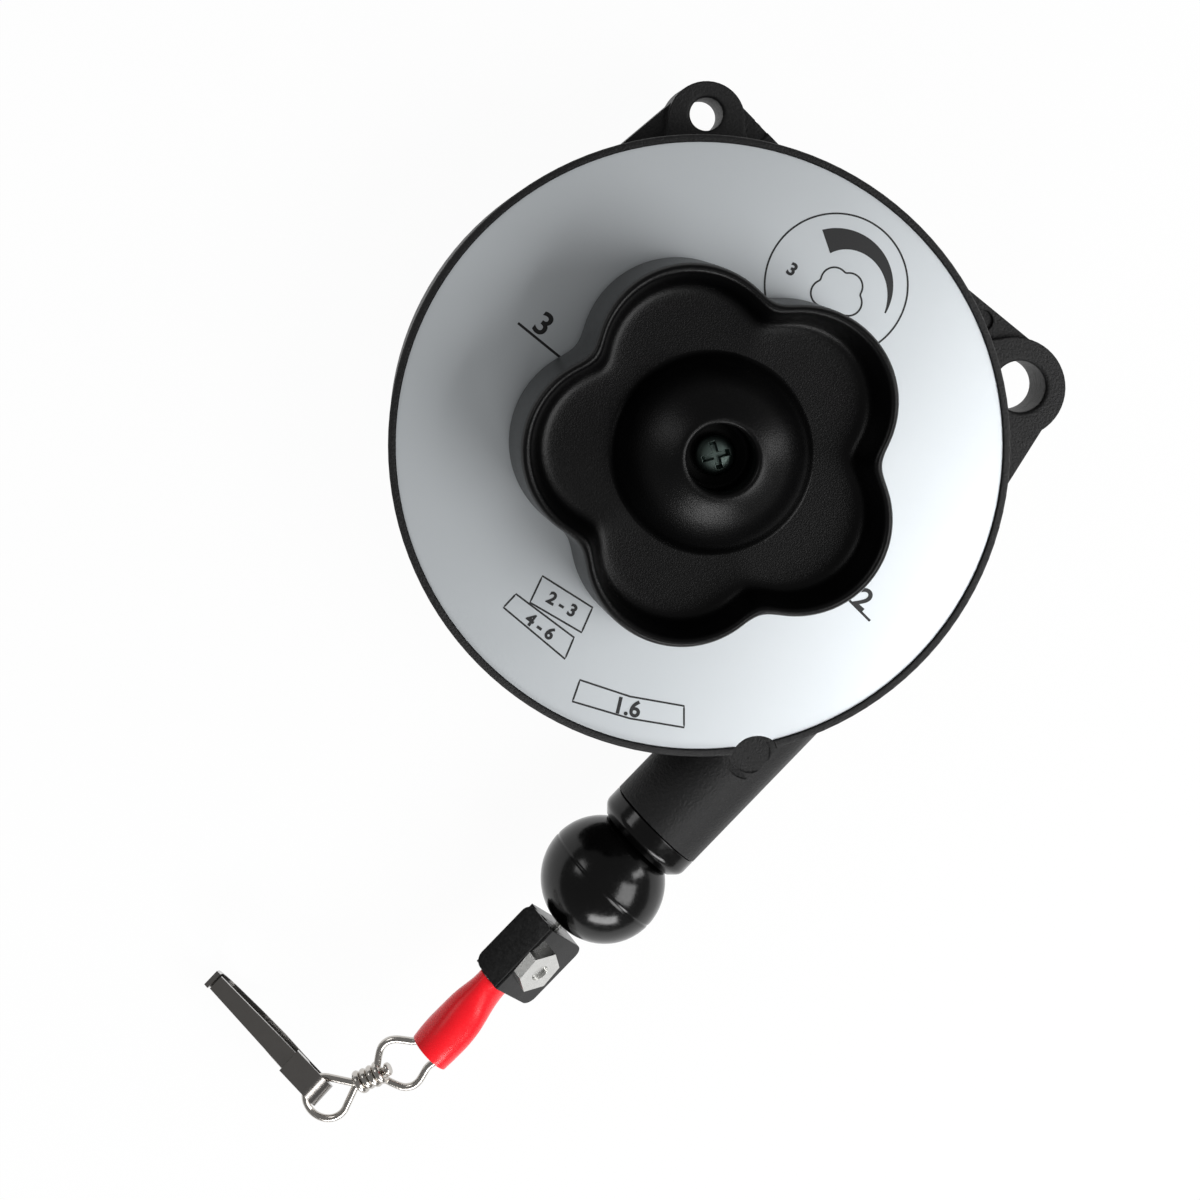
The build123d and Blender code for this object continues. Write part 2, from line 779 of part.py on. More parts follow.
# Cable run: the straight stretch from the drum to the clamp
with BuildPart() as cable_run:
    with BuildSketch(across_cable(cable_start)):
        Circle(cable_radius)
    extrude(amount=clamp_start - cable_start)
cable_run.part.label = "cable_run"
export_step(cable_run.part, "parts/cable_run.step")

# Ball stopper with its bore
with BuildPart() as ball_stopper:
    with BuildSketch(cable_section):
        with BuildLine():
            CenterArc((ball_centre, 0), ball_radius, 0, 180)
            Line((ball_centre + ball_radius, 0), (ball_centre - ball_radius, 0))
        make_face()
        with Locations((ball_centre, 0)):
            Rectangle(3 * ball_radius, 2 * ball_bore, mode=Mode.SUBTRACT)
    revolve(axis=cable_axis)
ball_stopper.part.label = "ball_stopper"
export_step(ball_stopper.part, "parts/ball_stopper.step")

# Cable clamp: the angle is the jaw with the two visible faces, the block lies inside it
clamp_middle = clamp_start + clamp_length / 2
ridge_face = Plane(
    origin=loop_plane.origin + ridge_side * (clamp_width / 2 - clamp_shift),
    x_dir=cable_direction,
    z_dir=ridge_side,
)
strands_at = Plane(
    origin=loop_plane.from_local_coords((clamp_start, 0, 0)),
    x_dir=clamp_normal,
    z_dir=cable_direction,
)
along_clamp = Axis(loop_plane.origin, cable_direction)


def strand_profile():
    """Two round grooves for the strands of the cable, at the clamp's start."""
    with BuildSketch(strands_at) as grooves:
        with Locations((0, strand_offset), (0, -strand_offset)):
            Circle(cable_radius + strand_fit)
    return grooves.sketch


def clamp_screw_profile(height, radius):
    """A circle on the clamp screw's axis, at a height over the jaws' joint."""
    with BuildSketch(loop_plane.offset(height)) as circle:
        with Locations((clamp_middle, 0)):
            Circle(radius)
    return circle.sketch


with BuildPart() as clamp_angle:
    with BuildSketch(loop_plane.offset(jaw_gap / 2)):
        with Locations((clamp_middle, clamp_shift)):
            Rectangle(clamp_length, clamp_width)
        fillet(vertices().group_by(Axis.Y)[-1], clamp_corner)
    extrude(amount=(clamp_thickness - jaw_gap) / 2)
    with BuildSketch(ridge_face):
        with Locations((clamp_middle, 0)):
            Rectangle(clamp_length, clamp_thickness)
        fillet(vertices().group_by(Axis.Y)[0], clamp_corner)
    extrude(amount=-clamp_leg)
    fillet(edges().filter_by(along_clamp).sort_by(Axis.Z)[-1], ridge_round)
    extrude(strand_profile(), amount=clamp_length, mode=Mode.SUBTRACT)
    extrude(
        clamp_screw_profile(0, clamp_screw_radius + screw_fit),
        amount=clamp_thickness,
        mode=Mode.SUBTRACT,
    )
clamp_angle.part.label = "clamp_angle"
export_step(clamp_angle.part, "parts/clamp_angle.step")

block_width = clamp_width - clamp_leg - jaw_gap
with BuildPart() as clamp_block:
    with BuildSketch(loop_plane.offset(-clamp_thickness / 2)):
        with Locations((clamp_middle, clamp_shift + (clamp_width - block_width) / 2)):
            Rectangle(clamp_length, block_width)
        fillet(vertices().group_by(Axis.Y)[-1], clamp_corner)
    extrude(amount=(clamp_thickness - jaw_gap) / 2)
    extrude(strand_profile(), amount=clamp_length, mode=Mode.SUBTRACT)
    extrude(
        clamp_screw_profile(0, clamp_screw_radius + screw_fit),
        amount=-clamp_thickness,
        mode=Mode.SUBTRACT,
    )
    extrude(
        clamp_screw_profile(-clamp_thickness / 2, clamp_head_radius + screw_fit),
        amount=clamp_head_height + screw_fit,
        mode=Mode.SUBTRACT,
    )
clamp_block.part.label = "clamp_block"
export_step(clamp_block.part, "parts/clamp_block.step")

with BuildPart() as clamp_bolt:
    extrude(
        clamp_screw_profile(-clamp_thickness / 2, clamp_head_radius),
        amount=clamp_head_height,
    )
    extrude(
        clamp_screw_profile(-clamp_thickness / 2, clamp_screw_radius),
        amount=clamp_thickness + nut_thickness - clamp_screw_end,
    )
clamp_bolt.part.label = "clamp_bolt"
export_step(clamp_bolt.part, "parts/clamp_bolt.step")

with BuildPart() as clamp_nut:
    with BuildSketch(loop_plane.offset(clamp_thickness / 2)):
        with Locations((clamp_middle, 0)):
            RegularPolygon(nut_flats / 2, 6, major_radius=False, rotation=nut_turn)
            Circle(clamp_screw_radius + strand_fit, mode=Mode.SUBTRACT)
    extrude(amount=nut_thickness)
clamp_nut.part.label = "clamp_nut"
export_step(clamp_nut.part, "parts/clamp_nut.step")

# Cable loop: the live strand goes on from the clamp, round the eye, and back beside the screw
loop_turn = sleeve_start + 2.0
with BuildPart() as cable_loop:
    with BuildLine(loop_plane) as loop_path:
        FilletPolyline(
            (clamp_start, strand_offset),
            (loop_turn, strand_offset),
            (loop_apex, loop_drift + loop_half_height),
            (loop_apex, loop_drift - loop_half_height),
            (loop_turn, -strand_offset),
            (clamp_start + 1.0, -strand_offset),
            radius=[6.0, loop_corner, loop_corner, 6.0],
        )
    with BuildSketch(Plane(origin=loop_path.line @ 0, z_dir=loop_path.line % 0)):
        Circle(cable_radius)
    sweep(path=loop_path.line)
cable_loop.part.label = "cable_loop"
export_step(cable_loop.part, "parts/cable_loop.step")

# Sleeve: a soft tube over the loop, lofted through its sections, with an even wall
with BuildPart() as loop_sleeve:
    for thickness, mode in ((0, Mode.ADD), (sleeve_wall, Mode.SUBTRACT)):
        for share, across, along in sleeve_sections:
            distance = sleeve_start + share * (sleeve_end - sleeve_start)
            section_plane = Plane(
                origin=loop_plane.from_local_coords((distance, loop_drift * share, 0)),
                x_dir=clamp_normal,
                z_dir=cable_direction,
            )
            with BuildSketch(section_plane):
                Ellipse(across - thickness, along - thickness)
        loft(mode=mode)
loop_sleeve.part.label = "loop_sleeve"
export_step(loop_sleeve.part, "parts/loop_sleeve.step")

# Swivel eye: one wire, its two ends wound as a short coil round the link's shank
eye_sink = eye_behind * sin(radians(eye_pitch))
eye_centre = loop_plane.from_local_coords((loop_apex, loop_drift, 0)) - Vector(0, 0, eye_sink)
heading = radians(eye_heading)
eye_direction = Vector(
    cos(heading) * cos(radians(eye_pitch)),
    sin(heading) * cos(radians(eye_pitch)),
    -sin(radians(eye_pitch)),
)
eye_side = Vector(-sin(heading), cos(heading), 0)
eye_plane = Plane(
    origin=eye_centre, x_dir=eye_direction, z_dir=eye_direction.cross(eye_side)
)
eye_axis = Axis(eye_centre, eye_direction)
coil_bore = wire_radius + shank_clearance
coil_ring = coil_bore + wire_radius
coil_end = coil_start + 2 * wire_radius + (coil_turns - 1) * coil_pitch


def wire_along(path):
    """A round wire's section at the start of a path."""
    with BuildSketch(Plane(origin=path @ 0, z_dir=path % 0)) as section:
        Circle(wire_radius)
    return section.sketch


with BuildPart() as swivel_eye:
    with BuildLine(eye_plane) as eye_path:
        FilletPolyline(
            (coil_start + wire_radius, eye_end_half),
            (eye_wide_to, eye_wide),
            (eye_wide_from, eye_wide),
            (eye_neck, eye_inner_half),
            (-eye_behind, eye_inner_half),
            (-eye_behind, -eye_inner_half),
            (eye_neck, -eye_inner_half),
            (eye_wide_from, -eye_wide),
            (eye_wide_to, -eye_wide),
            (coil_start + wire_radius, -eye_end_half),
            radius=[3.5, 4.0, 2.0, 1.8, 1.8, 2.0, 4.0, 3.5],
        )
    sweep(wire_along(eye_path.line), path=eye_path.line)
    with BuildSketch(eye_plane):
        for turn in range(coil_turns):
            with Locations((coil_start + wire_radius + turn * coil_pitch, coil_ring)):
                Circle(wire_radius)
        barrel_length = coil_end - coil_start - wire_radius
        with Locations(((coil_start + coil_end) / 2, coil_ring)):
            Rectangle(barrel_length, wire_radius)
    revolve(axis=eye_axis)
swivel_eye.part.label = "swivel_eye"
export_step(swivel_eye.part, "parts/swivel_eye.step")

# Hook link: a headed shank in the coil, and a pear-shaped loop bent from the same wire
link_flare = asin(link_round / (link_centre - link_neck))
head_end = coil_start - head_play
with BuildPart() as hook_link:
    for side in (1, -1):
        with BuildLine(eye_plane) as leg:
            tangent_point = (
                link_centre - link_round * sin(link_flare),
                side * link_round * cos(link_flare),
            )
            Line((link_neck, 0), tangent_point)
            CenterArc(
                (link_centre, 0),
                link_round,
                side * (90 + degrees(link_flare)),
                -side * (90 + degrees(link_flare)),
            )
        sweep(wire_along(leg.line), path=leg.line)
    with BuildSketch(eye_plane):
        with Locations((link_neck, 0)):
            Circle(wire_radius)
            Rectangle(2 * wire_radius, wire_radius, mode=Mode.SUBTRACT)
        with BuildLine():
            Polyline(
                (head_end - head_length, 0),
                (head_end - head_length, head_radius),
                (head_end, head_radius),
                (head_end, wire_radius),
                (link_neck, wire_radius),
                (link_neck, 0),
                close=True,
            )
        make_face()
    revolve(axis=eye_axis)
hook_link.part.label = "hook_link"
export_step(hook_link.part, "parts/hook_link.step")

# Hook: one folded sheet, from the strap over the gate, round the link, to the bow and the nose
contact = radians(link_contact_angle)
heading, rise = radians(hook_across_heading), radians(hook_across_rise)
across = Vector(cos(heading) * cos(rise), sin(heading) * cos(rise), sin(rise))
level = Vector(-across.Y, across.X, 0).normalized() * -1
upright = level.cross(across)
hook_along = level * cos(radians(hook_pitch)) - upright * sin(radians(hook_pitch))
hook_plane = Plane(
    origin=eye_plane.from_local_coords(
        (link_centre + link_round * cos(contact), link_round * sin(contact), 0)
    ),
    x_dir=hook_along,
    z_dir=-across,
)
hook_top_plane = Plane(
    origin=hook_plane.origin, x_dir=hook_along, z_dir=hook_plane.y_dir
)
hook_nose_end = hook_length + hook_sheet


def both_ways(profile, width, mode=Mode.ADD):
    """Extrudes a side view of the hook to both sides, to a total width."""
    extrude(profile, amount=width / 2, both=True, mode=mode)


def tapered_outline(start, full_until, end, width, end_width):
    """The hook's outline from above: an even width first, then narrowing to the end."""
    with BuildSketch(hook_top_plane) as outline:
        with BuildLine():
            Polyline(
                (start, width / 2),
                (full_until, width / 2),
                (end, end_width / 2),
                (end, -end_width / 2),
                (full_until, -width / 2),
                (start, -width / 2),
                close=True,
            )
        make_face()
    return outline.sketch


with BuildPart() as hook_frame:
    with BuildSketch(hook_plane) as folded:
        with BuildLine() as fold_path:
            FilletPolyline(
                (strap_length, fold_radius),
                (-fold_radius, fold_radius),
                (-fold_radius, -hook_waist),
                (throat_start, -hook_waist),
                (throat_full, -hook_depth),
                (hook_length, -hook_depth),
                (hook_length, hook_nose_height),
                radius=[fold_radius, fold_radius, fold_release, throat_round, bow_round],
            )
        trace(fold_path.line, line_width=hook_sheet)
    both_ways(folded.sketch, hook_width)
    with BuildSketch(hook_plane) as cheek:
        with BuildLine():
            Polyline(
                (cheek_start, fold_radius),
                (strap_length, fold_radius),
                (strap_length, gate_pivot[1] - 2 * gate_pin_radius),
                (gate_pivot[0] - 2 * gate_pin_radius, gate_pivot[1] - 2 * gate_pin_radius),
                close=True,
            )
        make_face()
    both_ways(cheek.sketch, hook_width)
    with BuildSketch(hook_plane) as between_cheeks:
        with Locations((hook_length / 2, (fold_radius - hook_sheet / 2 - hook_waist) / 2)):
            Rectangle(hook_length - hook_sheet, fold_radius + hook_waist - hook_sheet / 2)
    both_ways(between_cheeks.sketch, gate_width + 2 * gate_side_gap, mode=Mode.SUBTRACT)
    extrude(
        tapered_outline(
            -hook_length, hook_taper_from, hook_nose_end, hook_width, hook_nose_width
        ),
        amount=hook_length,
        both=True,
        mode=Mode.INTERSECT,
    )
    with BuildSketch(hook_plane) as pin_hole:
        with Locations(gate_pivot):
            Circle(gate_pin_radius + gate_pin_fit / 2)
    both_ways(pin_hole.sketch, hook_width, mode=Mode.SUBTRACT)
hook_frame.part.label = "hook_frame"
export_step(hook_frame.part, "parts/hook_frame.step")

# Hook gate: a channel on the pin, its tip inside the nose
with BuildPart() as hook_gate:
    with BuildSketch(hook_plane) as gate_side:
        with Locations(((gate_start + gate_end) / 2, gate_top - gate_flange / 2)):
            Rectangle(gate_end - gate_start, gate_flange)
        with Locations(gate_pivot):
            Circle(gate_pin_radius + gate_lug)
    both_ways(gate_side.sketch, gate_width)
    with BuildSketch(hook_plane) as gate_inside:
        with Locations(((gate_start + gate_end) / 2, gate_top - gate_sheet - gate_width)):
            Rectangle(2 * gate_end, 2 * gate_width)
    both_ways(gate_inside.sketch, gate_width - 2 * gate_sheet, mode=Mode.SUBTRACT)
    extrude(
        tapered_outline(
            -hook_length, hook_taper_from, gate_end + gate_sheet, gate_width, gate_tip_width
        ),
        amount=hook_length,
        both=True,
        mode=Mode.INTERSECT,
    )
    with BuildSketch(hook_plane) as gate_hole:
        with Locations(gate_pivot):
            Circle(gate_pin_radius + gate_pin_fit)
    both_ways(gate_hole.sketch, hook_width, mode=Mode.SUBTRACT)
hook_gate.part.label = "hook_gate"
export_step(hook_gate.part, "parts/hook_gate.step")

with BuildPart() as gate_pin:
    with BuildSketch(hook_plane) as pin_outline:
        with Locations(gate_pivot):
            Circle(gate_pin_radius)
    both_ways(pin_outline.sketch, hook_width)
gate_pin.part.label = "gate_pin"
export_step(gate_pin.part, "parts/gate_pin.step")

# Gate spring: a leaf from the hook's lower run up to the gate
run_slope = (hook_depth - hook_waist) / (throat_full - throat_start)
leaf_lift = (hook_sheet / 2 + leaf_thickness / 2 + stack_gap) * sqrt(1 + run_slope**2)
with BuildPart() as gate_spring:
    with BuildSketch(hook_plane) as leaf:
        with BuildLine() as leaf_path:
            FilletPolyline(
                (leaf_foot - hook_waist, leaf_lift - hook_waist - (leaf_foot - 2 * hook_waist) * run_slope),
                (leaf_foot, leaf_lift - hook_waist - (leaf_foot - hook_waist) * run_slope),
                (leaf_touch, gate_top - gate_sheet - leaf_thickness),
                radius=leaf_thickness * 2,
            )
        trace(leaf_path.line, line_width=leaf_thickness)
    both_ways(leaf.sketch, leaf_width)
gate_spring.part.label = "gate_spring"
export_step(gate_spring.part, "parts/gate_spring.step")
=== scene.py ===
"""Looks of a spring tool balancer: black housing, lobed knob, pale dial plate, cable end and snap hook."""

import json

import bpy
import numpy as np
from mathutils import Matrix, Vector


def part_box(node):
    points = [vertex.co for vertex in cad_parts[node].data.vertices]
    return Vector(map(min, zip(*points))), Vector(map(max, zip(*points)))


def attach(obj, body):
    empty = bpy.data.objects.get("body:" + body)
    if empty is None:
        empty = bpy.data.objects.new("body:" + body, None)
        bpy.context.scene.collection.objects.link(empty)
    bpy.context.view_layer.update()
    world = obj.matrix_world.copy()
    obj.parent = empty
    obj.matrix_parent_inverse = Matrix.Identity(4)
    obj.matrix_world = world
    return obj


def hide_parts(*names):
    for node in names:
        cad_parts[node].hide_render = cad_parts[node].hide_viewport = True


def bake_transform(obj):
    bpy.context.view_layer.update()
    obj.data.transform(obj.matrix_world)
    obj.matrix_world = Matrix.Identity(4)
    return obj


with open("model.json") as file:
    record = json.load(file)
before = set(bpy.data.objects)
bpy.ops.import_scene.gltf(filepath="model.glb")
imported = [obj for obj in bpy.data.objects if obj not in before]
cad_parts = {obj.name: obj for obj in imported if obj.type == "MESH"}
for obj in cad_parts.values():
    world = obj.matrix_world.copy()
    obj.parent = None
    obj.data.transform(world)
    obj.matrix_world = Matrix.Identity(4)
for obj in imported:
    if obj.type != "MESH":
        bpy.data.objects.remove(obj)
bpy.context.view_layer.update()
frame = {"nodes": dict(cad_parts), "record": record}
MM = 0.001
WELD_PER_MM = 2000

# The straight-down view: focal length in pixels, eye in millimetres, the pixel under the eye, picture width

LENS_PX, EYE_MM, AXIS_PX, PICTURE_PX = 2078.4, (-56.5, 33.6, 438.0), (406.0, 271.0), 1200


# Surfaces as arrays of points, in millimetres


def soften(stations, passes=3):
    """Cuts each corner of a line of stations at a quarter and three quarters of each stretch; ends stay."""
    stations = np.asarray(stations, float)
    for _ in range(passes):
        near = 0.75 * stations[:-1] + 0.25 * stations[1:]
        far = 0.25 * stations[:-1] + 0.75 * stations[1:]
        inner = np.stack([near, far], 1).reshape(-1, stations.shape[1])
        stations = np.concatenate([stations[:1], inner, stations[-1:]])
    return stations


def revolved(profile, origin, axis, side, count):
    """A profile of (distance along the axis, radius) turned once.

    Each point is origin + axis * distance + radius * (cos t * side + sin t * across).
    """
    profile = np.asarray(profile, float)
    across = np.cross(axis, side)
    turn = np.linspace(0, 2 * np.pi, count + 1)[None, :, None]
    ring = np.cos(turn) * side + np.sin(turn) * across
    return origin + profile[:, :1, None] * axis + profile[:, 1:2, None] * ring


def tube(path, normal, radius, sides=20):
    """A round wire with domed ends along a flat path.

    Each point is path + radius * (cos t * in-plane side + sin t * the plane's normal).
    """
    path = np.asarray(path, float)
    tangent = np.gradient(path, axis=0)
    tangent /= np.linalg.norm(tangent, axis=1, keepdims=True)
    lean = np.linspace(0, np.pi / 2, 5)[:-1]
    head = path[0] - tangent[0] * (radius * np.cos(lean))[:, None]
    tail = path[-1] + tangent[-1] * (radius * np.cos(lean[::-1]))[:, None]
    radii = np.concatenate([radius * np.sin(lean), np.full(len(path), radius), radius * np.sin(lean[::-1])])
    path = np.concatenate([head, path, tail])
    ends = len(lean)
    tangent = np.concatenate([np.repeat(tangent[:1], ends, 0), tangent, np.repeat(tangent[-1:], ends, 0)])
    side = np.cross(normal, tangent)
    turn = np.linspace(0, 2 * np.pi, sides + 1)[None, :, None]
    ring = np.cos(turn) * side[:, None] + np.sin(turn) * np.asarray(normal)
    return path[:, None] + radii[:, None, None] * ring


def mesh_object(name, points, faces, material, body, smooth_angle):
    """Points and faces made into one object, on a body or, for a piece that bends later, on none.

    Coinciding points become one, and a face keeps only its different corners.
    """
    keys = np.round(np.asarray(points) * WELD_PER_MM).astype(np.int64)
    _, first, inverse = np.unique(keys, axis=0, return_index=True, return_inverse=True)
    corners = inverse.reshape(-1)[np.asarray(faces)]
    kept = corners != np.roll(corners, 1, axis=1)
    counts = kept.sum(1)
    whole = counts > 2
    corners, kept, counts = corners[whole], kept[whole], counts[whole]
    mesh = bpy.data.meshes.new(name)
    mesh.vertices.add(len(first))
    mesh.vertices.foreach_set("co", (np.asarray(points)[first] * MM).astype(np.float32).ravel())
    mesh.loops.add(int(counts.sum()))
    mesh.loops.foreach_set("vertex_index", corners[kept].astype(np.int32))
    mesh.polygons.add(len(counts))
    starts = np.concatenate([[0], np.cumsum(counts)[:-1]])
    mesh.polygons.foreach_set("loop_start", starts.astype(np.int32))
    mesh.polygons.foreach_set("use_smooth", np.ones(len(counts), bool))
    mesh.update(calc_edges=True)
    mesh.validate()
    mesh.set_sharp_from_angle(angle=np.radians(smooth_angle))
    mesh.materials.append(material)
    piece = bpy.data.objects.new(name, mesh)
    bpy.context.scene.collection.objects.link(piece)
    if body:
        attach(piece, body)
    return piece


def grid_object(name, grids, material, body, slot, smooth_angle):
    """Grids of points made into one object, a quad between each four neighbours."""
    faces = []
    start = 0
    for grid in grids:
        rows, columns = grid.shape[:2]
        index = start + np.arange(rows * columns).reshape(rows, columns)
        quads = np.stack([index[:-1, :-1], index[:-1, 1:], index[1:, 1:], index[1:, :-1]], -1)
        faces.append(quads.reshape(-1, 4))
        start += rows * columns
    points = np.concatenate([grid.reshape(-1, 3) for grid in grids])
    return mesh_object(name, points, np.concatenate(faces), material, body, smooth_angle)


def smooth_copy(node, material, body, slot):
    """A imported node's own triangles with their shared points merged, so that its curves shade smoothly."""
    source = frame["nodes"][node].data
    points = np.empty(len(source.vertices) * 3, np.float32)
    source.vertices.foreach_get("co", points)
    source.calc_loop_triangles()
    triangles = np.empty(len(source.loop_triangles) * 3, np.int32)
    source.loop_triangles.foreach_get("vertices", triangles)
    points = points.reshape(-1, 3).astype(float) / MM
    piece = mesh_object(node + "_smooth", points, triangles.reshape(-1, 3), material, body, 32.0)
    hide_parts(node)
    return piece


# Shader maths


class Value:
    """A node socket; Python's operators on it add the Math nodes."""

    def __init__(self, finish, socket):
        self.finish = finish
        self.socket = socket

    def math(self, operation, *others):
        values = {index + 1: other for index, other in enumerate(others)}
        return self.finish.node("ShaderNodeMath", {"operation": operation}, {0: self, **values})

    def __add__(self, other):
        return self.math("ADD", other)

    def __mul__(self, other):
        return self.math("MULTIPLY", other)


class Finish:
    """One material. Its constants sit on the shader's own sockets, and node() adds every other node."""

    def __init__(self, name, **constants):
        self.material = bpy.data.materials.new(name)
        self.material.use_nodes = True
        self.tree = self.material.node_tree
        self.shader = self.tree.nodes["Principled BSDF"]
        for socket, value in constants.items():
            self.shader.inputs[socket.replace("_", " ")].default_value = value
        self.place = self.node("ShaderNodeTexCoord", out="Object")

    def node(self, kind, settings=None, values=None, out=0):
        node = self.tree.nodes.new(kind)
        for key, value in (settings or {}).items():
            if key == "stops":
                ramp = node.color_ramp.elements
                for index, (position, colour) in enumerate(value):
                    stop = ramp[index] if index < 2 else ramp.new(position)
                    stop.position = position
                    stop.color = colour
            else:
                setattr(node, key, value)
        for key, value in (values or {}).items():
            if isinstance(value, Value):
                self.tree.links.new(value.socket, node.inputs[key])
            else:
                node.inputs[key].default_value = value
        return Value(self, node.outputs[out])

    def feed(self, socket, value):
        self.tree.links.new(value.socket, self.shader.inputs[socket])

    def noise(self, per_mm, detail, roughness=0.5):
        """Noise with a given number of blobs per millimetre, read from the piece's own place."""
        values = {"Vector": self.place, "Scale": per_mm / MM, "Detail": detail, "Roughness": roughness}
        return self.node("ShaderNodeTexNoise", {}, values, out="Fac")

    def mix(self, share, first, second):
        """A colour between two colours."""
        values = {"Factor": share, "A": (*first, 1), "B": (*second, 1)}
        return self.node("ShaderNodeMix", {"data_type": "RGBA"}, values, out="Result")

    def ramp(self, value, *stops):
        grey = [(position, (level, level, level, 1)) for position, level in stops]
        return self.node("ShaderNodeValToRGB", {"stops": grey}, {"Fac": value})

    def relief(self, height, depth_mm, edge_mm):
        """Bump of a given depth, over edges that look rounded by a given radius."""
        values = {"Height": height, "Distance": depth_mm * MM, "Strength": 1.0}
        if edge_mm:
            rounding = {"Radius": edge_mm * MM}
            values["Normal"] = self.node("ShaderNodeBevel", {"samples": 6}, rounding, "Normal")
        self.feed("Normal", self.node("ShaderNodeBump", {}, values, out="Normal"))


def tint(colour, gain, lift=0.0):
    """A colour multiplied by a gain, plus a little white."""
    return [channel * gain + lift for channel in colour]


def grained_plastic(name, colour, rough, grain_per_mm, depth, edge=0.35, glint_lift=0.0, gloss=0.3):
    """Moulded plastic: a fine spark-eroded grain, its peaks lighter as a painted highlight, over a random
    cloudy tone.
    """
    finish = Finish(name, IOR=1.48, Specular_IOR_Level=gloss)
    grain = finish.noise(grain_per_mm, 3.0, 0.6)
    cloud = finish.noise(0.06, 3.0)
    # Painted highlight: the grain's peaks are lightened as glints, with a little white added; the cloud
    # share is random tone.
    peak_glints = finish.ramp(grain, (0.45, 0.0), (0.72, 1.0))
    finish.feed("Base Color", finish.mix(peak_glints * 0.5 + cloud * 0.3, colour, tint(colour, 1.9, glint_lift)))
    finish.feed("Roughness", grain * 0.14 + cloud * 0.08 + (rough - 0.11))
    finish.relief(grain, depth, edge)
    return finish.material


def polished_plastic(name, colour, rough, edge=0.2):
    """Polished moulding: long soft waves from the mould, faint handling marks in the gloss."""
    finish = Finish(name, IOR=1.5, Specular_IOR_Level=0.34)
    wave = finish.noise(0.12, 2.0)
    marks = finish.noise(1.6, 4.0, 0.7)
    finish.feed("Base Color", finish.mix(wave * 0.5, colour, tint(colour, 1.5, 0.0006)))
    finish.feed("Roughness", finish.ramp(marks, (0.35, rough), (0.8, rough + 0.16)))
    finish.relief(wave + marks * 0.04, 0.12, edge)
    return finish.material


def plated(name, colour, rough, grain=0.04, edge=0.08):
    """Plated metal: a thin variation of tint and gloss, with fine drawing marks."""
    finish = Finish(name, Metallic=1.0)
    cloud = finish.noise(0.5, 3.0, 0.6)
    marks = finish.noise(3.0, 4.0, 0.65)
    finish.feed("Base Color", finish.mix(cloud, colour, tint(colour, 0.78)))
    finish.feed("Roughness", marks * 0.16 + cloud * 0.1 + (rough - 0.1))
    finish.relief(marks, grain, edge)
    return finish.material


def turned(name, colour, rough, pitch_mm=0.25):
    """Turned metal: fine rings round the knob's axis, from the distance to that axis."""
    finish = Finish(name, Metallic=1.0)
    across = {0: finish.place, 1: (1, 1, 0)}
    flat = finish.node("ShaderNodeVectorMath", {"operation": "MULTIPLY"}, across)
    distance = finish.node("ShaderNodeVectorMath", {"operation": "LENGTH"}, {0: flat}, out="Value")
    rings = (distance * (2 * np.pi / (pitch_mm * MM))).math("SINE")
    cloud = finish.noise(0.2, 3.0)
    finish.feed("Base Color", finish.mix(cloud, colour, tint(colour, 0.8)))
    finish.feed("Roughness", cloud * 0.2 + rings * 0.04 + rough)
    finish.relief(rings, 0.01, 0.1)
    return finish.material


# The housing's painted glints on its grain peaks get a little white added.
housing_grain = grained_plastic(
    "housing_grain", (0.006, 0.006, 0.0062), 0.5, 2.0, 0.2, edge=0.45, glint_lift=0.004
)
knob_satin = grained_plastic("knob_satin", (0.0012, 0.0012, 0.0013), 0.33, 3.2, 0.05, edge=0.0, gloss=0.2)
polished_black = polished_plastic("polished_black", (0.0008, 0.0008, 0.0008), 0.12)
clamp_paint = polished_plastic("clamp_paint", (0.001, 0.001, 0.0012), 0.16, edge=0.25)
sleeve_vinyl = polished_plastic("sleeve_vinyl", (0.82, 0.008, 0.016), 0.22)
zinc = plated("zinc", (0.78, 0.78, 0.76), 0.26)
nickel = plated("nickel", (0.62, 0.59, 0.55), 0.14, grain=0.01)
hook_nickel = plated("hook_nickel", (0.3, 0.285, 0.27), 0.16, grain=0.01, edge=0.0)
blued_steel = plated("blued_steel", (0.16, 0.19, 0.24), 0.3)
strand_steel = plated("strand_steel", (0.5, 0.5, 0.48), 0.34, grain=0.02)
# Olive zinc in its own tint, darkened as painted shade of the knob's deep hole where the screw sits.
hole_shade_zinc = plated("hole_shade_zinc", (0.13, 0.17, 0.155), 0.34, grain=0.02)
# Painted shade: the knob washer is near black to stand in for the shade deep in the knob's hole.
washer_shade_black = plated("washer_shade_black", (0.012, 0.012, 0.012), 0.5, grain=0.01)
turned_aluminium = turned("turned_aluminium", (0.75, 0.76, 0.77), 0.32)
turned_steel = turned("turned_steel", (0.55, 0.55, 0.55), 0.28)
sintered_brass = grained_plastic("sintered_brass", (0.5, 0.33, 0.1), 0.5, 6.0, 0.01, edge=0.05)
brake_fibre = grained_plastic("brake_fibre", (0.16, 0.09, 0.05), 0.8, 3.0, 0.05, edge=0.1)

plate = Finish("dial_plate", IOR=1.5, Metallic=0.72)
plate.feed("Base Color", plate.mix(plate.noise(0.03, 2.0), (0.66, 0.70, 0.725), (0.71, 0.745, 0.77)))
plate.feed("Roughness", plate.noise(5.0, 3.0) * 0.1 + 0.33)
plate.relief(plate.noise(2.5, 3.0), 0.006, 0.1)

ink = Finish("plate_ink", Roughness=0.5)
ink.feed("Base Color", ink.mix(ink.noise(4.0, 3.0), (0.006, 0.006, 0.007), (0.014, 0.014, 0.015)))

